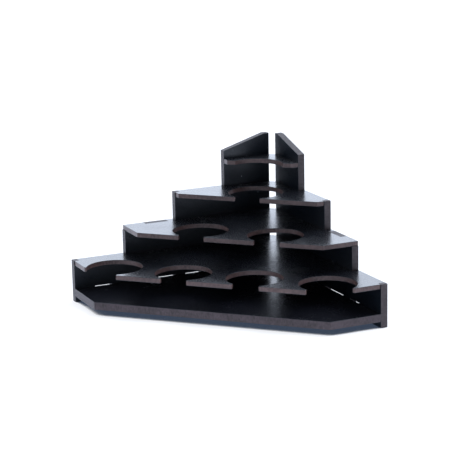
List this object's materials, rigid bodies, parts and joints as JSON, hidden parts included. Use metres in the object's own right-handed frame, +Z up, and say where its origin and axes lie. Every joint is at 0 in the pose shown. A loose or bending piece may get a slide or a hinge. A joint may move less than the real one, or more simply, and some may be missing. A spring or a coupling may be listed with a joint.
{
  "type": "paint rack",
  "caption": "Stepped corner rack for paint pots: side boards at a right angle carry a base, shelves with open-fronted round holes, and a top brace.",
  "frame": {"origin": "on the surface that the rack stands on, in the middle of its outline", "axes": "+X across the rack to its right, +Y towards the corner at the back, +Z up"},
  "size_m": [0.2098, 0.1272, 0.0976],
  "materials": {
    "side_board_laminate": "fibreboard with satin black laminate faces and grey-brown cut edges",
    "base_board_laminate": "fibreboard with satin black laminate faces and grey-brown cut edges",
    "shelf_laminate": "thin fibreboard with satin black laminate faces and brown cut edges"
  },
  "bodies": {
    "root": {"left_side_board": "side_board_laminate", "right_side_board": "side_board_laminate", "base_board": "base_board_laminate", "lower_shelf": "shelf_laminate", "middle_shelf": "shelf_laminate", "upper_shelf": "shelf_laminate", "top_brace": "shelf_laminate"}
  },
  "joints": []
}
